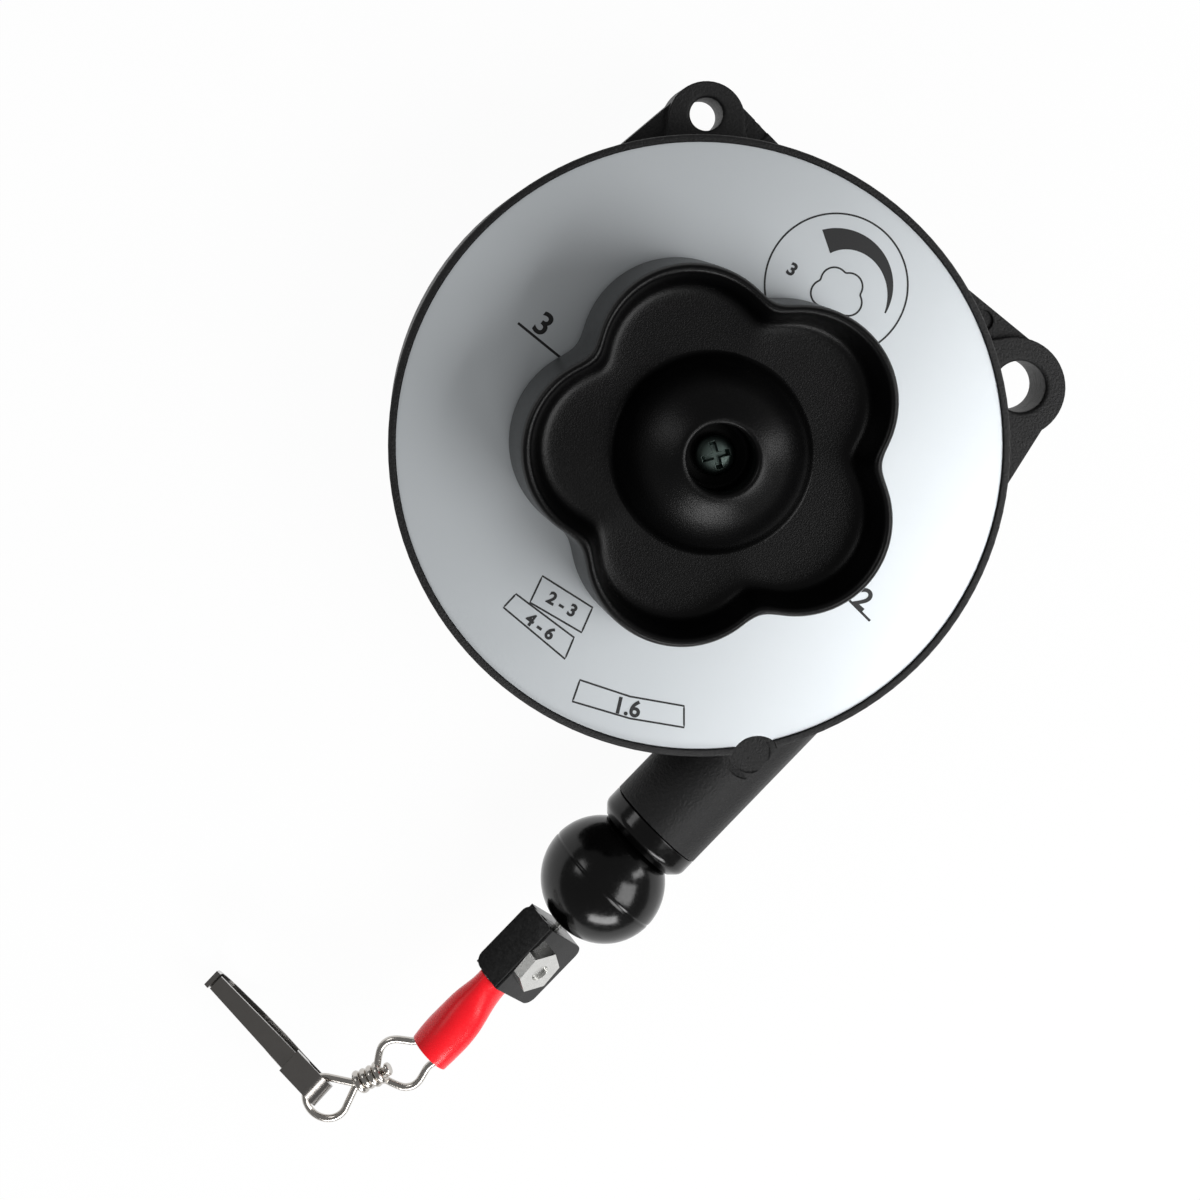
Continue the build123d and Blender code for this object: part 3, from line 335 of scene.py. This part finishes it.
# Which body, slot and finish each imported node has

bodies = frame["record"]["behaviour"]["bodies"]
node_body = {node: body for body, nodes in bodies.items() for node in nodes}
slots = {part["node"]: part["material_slot"] for part in frame["record"]["subparts"]}
finishes = {
    "shell_black": housing_grain,
    "label_grey": plate.material,
    "gloss_black": polished_black,
    "knob_black": knob_satin,
    "clamp_black": clamp_paint,
    "zinc": zinc,
    "nickel": nickel,
    "sleeve_red": sleeve_vinyl,
    "drum_metal": turned_aluminium,
    "bush_brass": sintered_brass,
    "spring_steel": blued_steel,
    "cable_steel": zinc,
    "arbor_steel": turned_steel,
    "brake_lining": brake_fibre,
}
special = {
    # Painted shade: the washer is near black for the shade inside the knob's hole.
    "knob_washer": washer_shade_black,
    # Painted shade: the screw's olive zinc is darkened for the shade inside the knob's hole.
    "knob_screw": hole_shade_zinc,
    "cable_run": strand_steel,
    "hook_frame": hook_nickel,
    "hook_gate": hook_nickel,
}
own_shapes = {"knob", "knob_screw", "ball_stopper", "cable_run", "loop_sleeve", "swivel_eye", "hook_link"}
bent = {"cable_run", "gate_spring"}


def dressing(node):
    """A node's material, body and slot; a bent node rides no body until its blend is set."""
    body = None if node in bent else node_body[node]
    return special.get(node, finishes[slots[node]]), body, slots[node]


copies = {node: smooth_copy(node, *dressing(node)) for node in node_body if node not in own_shapes}


def shape(node, *grids, smooth_angle):
    """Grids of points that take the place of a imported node."""
    piece = grid_object(node + "_shape", grids, *dressing(node), smooth_angle)
    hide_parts(node)
    return piece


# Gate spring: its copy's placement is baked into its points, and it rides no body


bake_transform(copies["gate_spring"])

# Knob: a profile carried round a five-lobed outline

LOBES = 5
LOBE_AT, LOBE_RADIUS, LOBE_ANGLE, LOBE_SPREAD = 18.5, 18.4, 33.0, 31.15
VALLEY_AT, VALLEY_ROUND = 36.8, 6.0
UNDERSIDE = [
    (40.7, 0, 0, 1), (40.7, 0, 9.8, 1), (50.6, 0, 9.9, 1), (50.6, 3.6, 0, 0), (40.6, 3.0, 0, 0),
    (40.6, 0.35, 0, 0),
]
WALL = [
    (40.6, 0.0, 0, 0), (40.95, 0.0, 0, 0), (60.4, 0.95, 0, 0), (62.3, 1.25, 0, 0), (62.85, 2.1, 0, 0),
    (62.3, 2.95, 0, 0), (60.6, 3.4, 0, 0), (57.0, 4.0, 0, 0), (54.3, 5.0, 0, 0), (53.7, 8.0, 0, 0),
]
DISH = [
    (53.6, 9.8, 19.9, 1), (53.62, 0, 18.9, 1), (54.6, 0, 17.8, 1), (58.2, 0, 16.8, 1), (60.9, 0, 15.2, 1),
    (63.6, 0, 12.7, 1), (65.7, 0, 9.8, 1), (66.9, 0, 7.6, 1), (66.9, 0, 6.7, 1), (66.3, 0, 6.25, 1),
]
HOLE = [(56.1, 0, 6.25, 1), (56.1, 0, 0, 1)]


def lobed_radius(angle):
    """Distance to the knob's outline: a circle round each lobe's centre, and a hollow circle between two."""
    step = 2 * np.pi / LOBES
    off = np.abs((angle - np.radians(LOBE_ANGLE) + step / 2) % step - step / 2)
    half_chord = np.sqrt(np.maximum(LOBE_RADIUS**2 - (LOBE_AT * np.sin(off)) ** 2, 0))
    lobe = LOBE_AT * np.cos(off) + half_chord
    beta = step / 2 - off
    half_valley = np.sqrt(np.maximum(VALLEY_ROUND**2 - (VALLEY_AT * np.sin(beta)) ** 2, 0))
    hollow = VALLEY_AT * np.cos(beta) - half_valley
    return np.where(off < np.radians(LOBE_SPREAD), lobe, hollow)


def knob_grid(count=420):
    """Stations of height, inset from the lobed outline, and radius; the fourth number blends the two.

    The distance from the axis is (outline - inset) * (1 - share) + radius * share: 0 is lobed, 1 is round.
    """
    turn = np.linspace(0, 2 * np.pi, count + 1)
    outline = lobed_radius(turn)
    outline = np.mean([np.roll(outline[:-1], shift) for shift in range(-4, 5)], axis=0)
    outline = np.append(outline, outline[0])
    upper = soften(np.array(WALL + DISH, float), 3)
    stations = np.concatenate([np.array(UNDERSIDE, float), upper, np.array(HOLE, float)])
    height, inset, radius, share = (stations[:, column, None] for column in range(4))
    distance = (outline[None] - inset) * (1 - share) + radius * share
    height = np.broadcast_to(height, distance.shape)
    return np.stack([distance * np.cos(turn), distance * np.sin(turn), height], -1)


shape("knob", knob_grid(), smooth_angle=50.0)

# Knob screw: a pan head with a cross recess, a little turned

HEAD_RADIUS, HEAD_RIM, HEAD_CROWN, HEAD_ROUND = 3.8, 1.0, 1.55, 3.85
RECESS_TURN, RECESS_REACH, RECESS_HALF_WIDTH, RECESS_DEPTH = 0.28, 2.35, 0.5, 1.25
RECESS_EDGE, RECESS_SLOPE = 1.12, 0.3


def cross_head_grid(base, rings=56, count=144):
    """A pan head as height over (radius, angle): a rounded dome less a cross, closed below."""
    radius = np.linspace(0, HEAD_RADIUS, rings)[:, None]
    turn = np.linspace(0, 2 * np.pi, count + 1)[None]
    along = np.abs(radius * np.cos(turn - RECESS_TURN))
    across = np.abs(radius * np.sin(turn - RECESS_TURN))
    dome = HEAD_RIM + HEAD_CROWN * np.sqrt(np.maximum(1 - (radius / HEAD_ROUND) ** 3, 0))
    first_arm = np.maximum(along / RECESS_REACH, across / RECESS_HALF_WIDTH)
    second_arm = np.maximum(across / RECESS_REACH, along / RECESS_HALF_WIDTH)
    arm = np.minimum(first_arm, second_arm)
    depth = np.clip((RECESS_EDGE - arm) / RECESS_SLOPE, 0, 1) * RECESS_DEPTH
    top = np.stack([radius * np.cos(turn), radius * np.sin(turn), base + dome - depth], -1)
    edge = top[-1:] * 1.0
    edge[..., 2] = base
    centre = edge * (0, 0, 1)
    return np.concatenate([top, edge, centre])


shape("knob_screw", cross_head_grid(57.0), smooth_angle=25.0)

# The cable's line, and the axes that the clamp, the loop and the sleeve share

CABLE_ANGLE, CABLE_ASIDE, CABLE_HEIGHT = np.radians(225.9), 49.8, 19.0
cable_dir = np.array([np.cos(CABLE_ANGLE), np.sin(CABLE_ANGLE), 0.0])
outward = np.array([-cable_dir[1], cable_dir[0], 0.0])
upward = np.array([0.0, 0.0, 1.0])
cable_origin = outward * CABLE_ASIDE + upward * CABLE_HEIGHT
jaw_normal = (outward + upward) / np.sqrt(2)
ridge_side = (upward - outward) / np.sqrt(2)

# Ball and cable

SEAM_DEPTH, SEAM_WIDTH = 0.16, 0.22
STRAND_SWELL, STRAND_STEP = 0.11, 0.35
RUN_FIRST, RUN_LAST, RUN_STRETCHED_TO = 15.0, 88.7, 62.0


def ball_profile(centre, radius=12.5, bore=1.0, count=200):
    """A circle from bore to bore, with a narrow round-bottomed groove where its two halves meet."""
    lean = np.linspace(np.arcsin(bore / radius), np.pi - np.arcsin(bore / radius), count)
    groove = SEAM_DEPTH * np.exp(-(((lean - np.pi / 2) * radius / SEAM_WIDTH) ** 2))
    reach = radius - groove
    rim = np.stack([centre - reach * np.cos(lean), reach * np.sin(lean)], -1)
    return np.concatenate([rim, rim[:1]])


def strand_grid(first, last, radius=0.8, strands=6, lay=11.0):
    """A twisted rope's outer surface: it swells at each strand, and the strands turn once per lay."""
    along = np.linspace(first, last, int((last - first) / STRAND_STEP))[:, None, None]
    turn = np.linspace(0, 2 * np.pi, 61)[None, :, None]
    swell = STRAND_SWELL * np.abs(np.sin(0.5 * strands * (turn + 2 * np.pi * along / lay)))
    reach = radius - STRAND_SWELL + swell
    return cable_origin + along * cable_dir + reach * (np.cos(turn) * outward + np.sin(turn) * upward)


ball_box_mm = np.array([list(corner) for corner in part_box("ball_stopper")], float) / MM
ball_mid = float(np.dot(np.mean(ball_box_mm, 0) - cable_origin, cable_dir))
ball_grid = revolved(ball_profile(ball_mid), cable_origin, cable_dir, outward, 160)
shape("ball_stopper", ball_grid, smooth_angle=60.0)
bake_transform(shape("cable_run", strand_grid(RUN_FIRST, RUN_LAST), smooth_angle=60.0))

# Sleeve: oval sections along the loop, pinched behind the clamp and swollen round the eye

SLEEVE = np.array([
    (0.0, 2.8, 4.35), (0.1, 2.8, 4.35), (0.24, 3.4, 4.4), (0.36, 4.1, 4.35), (0.52, 4.6, 4.35),
    (0.7, 4.75, 4.5), (0.84, 4.65, 4.55), (0.94, 4.5, 4.45), (1.0, 4.4, 4.4),
])
SLEEVE_START, SLEEVE_END, SLEEVE_WALL = 105.0, 124.7, 0.55
SLEEVE_LIP = np.array([0.004, 0.15, 0.15])
LOOP_DRIFT, STRAND_OFFSET = 1.4, 2.9


def sleeve_grid(count=96):
    """Ovals across the cable's line, as wide as the stations say, drifting aside: outside, then inside."""
    outer = soften(SLEEVE, 3)
    inner = outer[::-1] - (0, SLEEVE_WALL, SLEEVE_WALL)
    lip_out = outer[-1:] + SLEEVE_LIP * (1, -1, -1)
    lip_in = inner[:1] + SLEEVE_LIP
    stations = np.concatenate([outer, lip_out, lip_in, inner, outer[:1]])
    share, across, along = (stations[:, column, None, None] for column in range(3))
    turn = np.linspace(0, 2 * np.pi, count + 1)[None, :, None]
    dent = 1 + 0.035 * np.sin(3 * turn + 5.0 * share) * np.sin(np.pi * np.clip(share, 0, 1)) ** 2
    line = cable_origin + cable_dir * (SLEEVE_START + share * (SLEEVE_END - SLEEVE_START))
    line = line + ridge_side * (STRAND_OFFSET - LOOP_DRIFT * share)
    return line + dent * (across * np.cos(turn) * jaw_normal + along * np.sin(turn) * ridge_side)


shape("loop_sleeve", sleeve_grid(), smooth_angle=50.0)

# Eye: bent wire in one plane, its ends wound as a short coil

EYE_HEADING, EYE_PITCH, EYE_BEHIND, LOOP_APEX = np.radians(209.0), np.radians(12.0), 2.3, 124.0
WIRE = 0.75
COIL_START, COIL_TURNS, COIL_RING, COIL_PITCH, COIL_SWAY = 11.0, 4, 1.58, 1.55, 0.12
HALF_EYE = np.array([
    (11.9, 1.75), (10.6, 3.4), (9.3, 4.75), (7.6, 5.25), (5.9, 4.95), (4.2, 3.9), (2.6, 2.85), (0.8, 2.6),
    (-1.2, 2.6), (-2.3, 2.3), (-2.3, 1.1),
])
eye_level = np.array([np.cos(EYE_HEADING), np.sin(EYE_HEADING), 0.0])
eye_dir = eye_level * np.cos(EYE_PITCH) - upward * np.sin(EYE_PITCH)
eye_side = np.array([-np.sin(EYE_HEADING), np.cos(EYE_HEADING), 0.0])
eye_normal = np.cross(eye_dir, eye_side)
eye_origin = cable_origin + ridge_side * (STRAND_OFFSET - LOOP_DRIFT) + cable_dir * LOOP_APEX
eye_origin = eye_origin - upward * EYE_BEHIND * np.sin(EYE_PITCH)


def in_eye_plane(points):
    """Points of (along the eye, across it) put into space."""
    points = np.asarray(points, float)
    return eye_origin + points[:, :1] * eye_dir + points[:, 1:2] * eye_side


eye_loop = np.concatenate([HALF_EYE, HALF_EYE[::-1] * (1, -1)])
eye_path = in_eye_plane(soften(eye_loop, 4))
coil_turn = np.linspace(0, 2 * np.pi * (COIL_TURNS - 0.25), 40 * COIL_TURNS)[:, None]
coil_reach = COIL_RING + COIL_SWAY * np.sin(coil_turn * 0.37)
coil_line = eye_origin + (COIL_START + WIRE + coil_turn * COIL_PITCH / (2 * np.pi)) * eye_dir
coil_path = coil_line + coil_reach * (np.cos(coil_turn) * eye_side + np.sin(coil_turn) * eye_normal)
shape("swivel_eye", tube(eye_path, eye_normal, WIRE), tube(coil_path, eye_dir, WIRE, 16), smooth_angle=60.0)

# Link: a pear of the same wire on a headed shank that turns in the coil

LINK_NECK, LINK_ROUND, LINK_CENTRE = 18.0, 4.4, 25.1
LEG_START = (LINK_NECK - 0.1, 0.12)
SHANK = [
    (9.9, 0), (9.9, 1.1), (10.1, 1.3), (10.6, 1.3), (10.8, 1.15), (10.85, WIRE), (LINK_NECK, WIRE),
    (LINK_NECK + 0.5, 0.5), (LINK_NECK + 0.7, 0),
]
flare = np.arcsin(LINK_ROUND / (LINK_CENTRE - LINK_NECK))
bend = np.linspace(np.pi / 2 + flare, -np.pi / 2 - flare, 60)
pear = np.stack([LINK_CENTRE + LINK_ROUND * np.cos(bend), LINK_ROUND * np.sin(bend)], -1)
legs = np.linspace(LEG_START, pear[0], 14)[:-1]
pear_path = in_eye_plane(np.concatenate([legs, pear, legs[::-1] * (1, -1)]))
shank_grid = revolved(SHANK, eye_origin, eye_dir, eye_side, 40)
shape("hook_link", tube(pear_path, eye_normal, WIRE), shank_grid, smooth_angle=45.0)

# Print on the dial plate: lines, boxes and plain numbers, as a raised film of ink

INK_TOP, INK_DEPTH, LINE = 37.53, 0.06, 0.36
DIAL_CENTRE, DIAL_RADIUS = (26.4, 30.9), 13.8
SCALE_REACH, SCALE_WIDE, SCALE_NARROW = 11.0, 4.8, 0.3
SMALL_KNOB_CENTRE, SMALL_KNOB_SHARE = (26.7, 29.2), 0.141
DIGIT_SIZE, DIGIT_DEPTH, DIGIT_SWELL = 1.38, 0.03, 0.12


def ribbon(points, width, closed=False):
    """A line of ink along flat points: half the width to each side, from the plate to the ink's top."""
    points = np.asarray(points, float)
    if closed:
        points = np.concatenate([points, points[:1]])
        step = np.roll(points[:-1], -1, 0) - np.roll(points[:-1], 1, 0)
        step = np.concatenate([step, step[:1]])
    else:
        step = np.gradient(points, axis=0)
    side = np.stack([-step[:, 1], step[:, 0]], -1)
    side = side / np.linalg.norm(side, axis=1, keepdims=True)
    width = np.broadcast_to(np.asarray(width, float), len(points))[:, None] / 2
    left, right = points + side * width, points - side * width
    low = np.full((len(points), 1), INK_TOP - INK_DEPTH)
    high = np.full((len(points), 1), INK_TOP)
    around = [(left, low), (left, high), (right, high), (right, low), (left, low)]
    return np.stack([np.hstack(corner) for corner in around], 1)


def densely(points, per_side=8, closed=True):
    """A polygon's sides divided evenly."""
    points = np.asarray(points, float)
    ends = np.roll(points, -1, 0) if closed else points[1:]
    starts = points if closed else points[:-1]
    share = np.linspace(0, 1, per_side, endpoint=False)[None, :, None]
    line = (starts[:, None] + (ends - starts)[:, None] * share).reshape(-1, 2)
    return line if closed else np.concatenate([line, points[-1:]])


def from_picture(points):
    """Places on the plate, given as pixels of the straight-down view, in millimetres."""
    points = np.asarray(points, float)
    scale = LENS_PX / (EYE_MM[2] - INK_TOP)
    across = EYE_MM[0] + (points[:, 0] - AXIS_PX[0]) / scale
    down = EYE_MM[1] - (points[:, 1] - AXIS_PX[1]) / scale
    return np.stack([across, down], -1)


def headings(turn):
    """Directions at the given angles, as flat points."""
    return np.stack([np.cos(turn), np.sin(turn)], -1)


boxes = [
    [(542.5, 576), (592.5, 607.5), (581.5, 632.5), (530, 602.5)],
    [(516, 594), (574, 637.5), (565, 659), (503.5, 607.5)],
    [(580, 680), (630, 696.5), (684, 706), (684, 727.5), (630, 718.5), (572.5, 701.5)],
]
ticks = [[(518, 323), (561, 358)], [(846, 597), (870, 621)]]
scale_width = np.linspace(SCALE_WIDE, SCALE_NARROW, 90)
scale_reach = (SCALE_REACH - scale_width / 2)[:, None]
scale_turn = np.radians(np.linspace(103, -30, 90))
dial_turn = np.radians(np.linspace(0, 355, 120))
small_turn = np.radians(np.linspace(0, 357, 120))
small_reach = SMALL_KNOB_SHARE * lobed_radius(small_turn)[:, None]
small_knob = np.array(SMALL_KNOB_CENTRE) + small_reach * headings(small_turn)
print_lines = [ribbon(densely(from_picture(tick), 6, False), LINE * 1.4) for tick in ticks]
print_lines += [ribbon(densely(from_picture(box)), LINE, True) for box in boxes]
print_lines += [
    ribbon(np.asarray(DIAL_CENTRE) + DIAL_RADIUS * headings(dial_turn), LINE, True),
    ribbon(np.asarray(DIAL_CENTRE) + scale_reach * headings(scale_turn), scale_width),
    ribbon(small_knob, LINE, True),
]
grid_object("dial_print", print_lines, ink.material, "housing", "label_grey", 30.0)


def number(name, text, pixel, height, angle):
    """A plain number on the plate, centred on a pixel of the straight-down view, of a height and turned."""
    curve = bpy.data.curves.new(name, "FONT")
    curve.body = text
    curve.size = height * DIGIT_SIZE * MM
    curve.extrude = DIGIT_DEPTH * MM
    curve.offset = DIGIT_SWELL * MM
    curve.align_x, curve.align_y = "CENTER", "CENTER"
    curve.resolution_u = 6
    holder = bpy.data.objects.new(name + "_outline", curve)
    bpy.context.scene.collection.objects.link(holder)
    bpy.context.view_layer.update()
    shaped = holder.evaluated_get(bpy.context.evaluated_depsgraph_get())
    mesh = bpy.data.meshes.new_from_object(shaped)
    bpy.data.objects.remove(holder)
    spot = from_picture([pixel])[0]
    to_spot = Matrix.Translation(Vector((spot[0], spot[1], INK_TOP)) * MM)
    mesh.transform(to_spot @ Matrix.Rotation(np.radians(angle), 4, "Z"))
    mesh.materials.clear()
    mesh.materials.append(ink.material)
    piece = bpy.data.objects.new(name, mesh)
    bpy.context.scene.collection.objects.link(piece)
    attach(piece, "housing")


for name, text, pixel, height, angle in (
    ("mark_high", "3", (543, 325), 4.6, -38),
    ("mark_low", "2", (863, 600), 4.2, -42),
    ("box_upper_number", "2 - 3", (562, 605), 2.4, -31),
    ("box_lower_number", "4 - 6", (540, 627), 2.4, -36),
    ("box_long_number", "1.6", (627, 708), 3.2, -13),
    ("dial_number", "3", (792, 270), 2.5, -35),
):
    number(name, text, pixel, height, angle)

# Floor, light and camera

FLOOR_GLOW, FLOOR_HALF, FLOOR_HEIGHT, FLOOR_GREY = 0.96, 3000.0, -0.02, 0.86
SKY_STRENGTH = 0.23
SENSOR_MM = 36.0


def stage_material(name, grey):
    """Pale floor that the camera and reflections see as white, while it still takes the object's shadow."""
    finish = Finish(name, Base_Color=(grey, grey, grey, 1), Roughness=0.9)
    kinds = ("Is Camera Ray", "Is Glossy Ray", "Is Transmission Ray")
    rays = [finish.node("ShaderNodeLightPath", out=kind) for kind in kinds]
    seen = rays[0].math("MAXIMUM", rays[1]).math("MAXIMUM", rays[2])
    glow = finish.node("ShaderNodeEmission", {}, {"Color": (1, 1, 1, 1), "Strength": 1.0})
    surface = Value(finish, finish.shader.outputs[0])
    mixed = finish.node("ShaderNodeMixShader", {}, {0: seen * FLOOR_GLOW, 1: surface, 2: glow})
    finish.tree.links.new(mixed.socket, finish.tree.nodes["Material Output"].inputs["Surface"])
    return finish.material


floor_ends = (-FLOOR_HALF * MM, FLOOR_HALF * MM)
floor_mesh = bpy.data.meshes.new("floor")
floor_points = [(x, y, FLOOR_HEIGHT * MM) for y in floor_ends for x in floor_ends]
floor_mesh.from_pydata(floor_points, [], [(0, 1, 3, 2)])
floor_mesh.materials.append(stage_material("floor_white", FLOOR_GREY))
floor = bpy.data.objects.new("floor", floor_mesh)
bpy.context.scene.collection.objects.link(floor)


def area_lamp(name, place_mm, target_mm, size_mm, power):
    """A soft rectangular lamp at a place, turned to a target."""
    data = bpy.data.lights.new(name, "AREA")
    data.shape = "RECTANGLE"
    data.size, data.size_y = size_mm[0] * MM, size_mm[1] * MM
    data.energy = power
    lamp = bpy.data.objects.new(name, data)
    lamp.location = Vector(place_mm) * MM
    lamp.rotation_euler = (Vector(target_mm) - Vector(place_mm)).to_track_quat("-Z", "Y").to_euler()
    bpy.context.scene.collection.objects.link(lamp)


area_lamp("lamp_right", (430, -240, 600), (0, -20, 30), (460, 420), 3.7)
area_lamp("lamp_left", (-560, 300, 420), (-20, 0, 20), (300, 200), 0.6)
area_lamp("lamp_front", (-40, -600, 290), (-20, -60, 20), (420, 160), 2.2)
area_lamp("lamp_low", (520, 60, 260), (-20, -40, 20), (120, 260), 0.7)

world = bpy.data.worlds.new("studio")
bpy.context.scene.world = world
world.use_nodes = True
world.node_tree.nodes["Background"].inputs["Color"].default_value = (1, 1, 1, 1)
world.node_tree.nodes["Background"].inputs["Strength"].default_value = SKY_STRENGTH

camera_data = bpy.data.cameras.new("camera")
camera_data.sensor_width = SENSOR_MM
camera_data.lens = LENS_PX / PICTURE_PX * SENSOR_MM
camera_data.shift_x = (PICTURE_PX / 2 - AXIS_PX[0]) / PICTURE_PX
camera_data.shift_y = (AXIS_PX[1] - PICTURE_PX / 2) / PICTURE_PX
camera_data.clip_start = 0.01
camera = bpy.data.objects.new("camera", camera_data)
camera.location = Vector(EYE_MM) * MM
bpy.context.scene.collection.objects.link(camera)
bpy.context.scene.camera = camera
bpy.context.scene.view_settings.view_transform = "Standard"
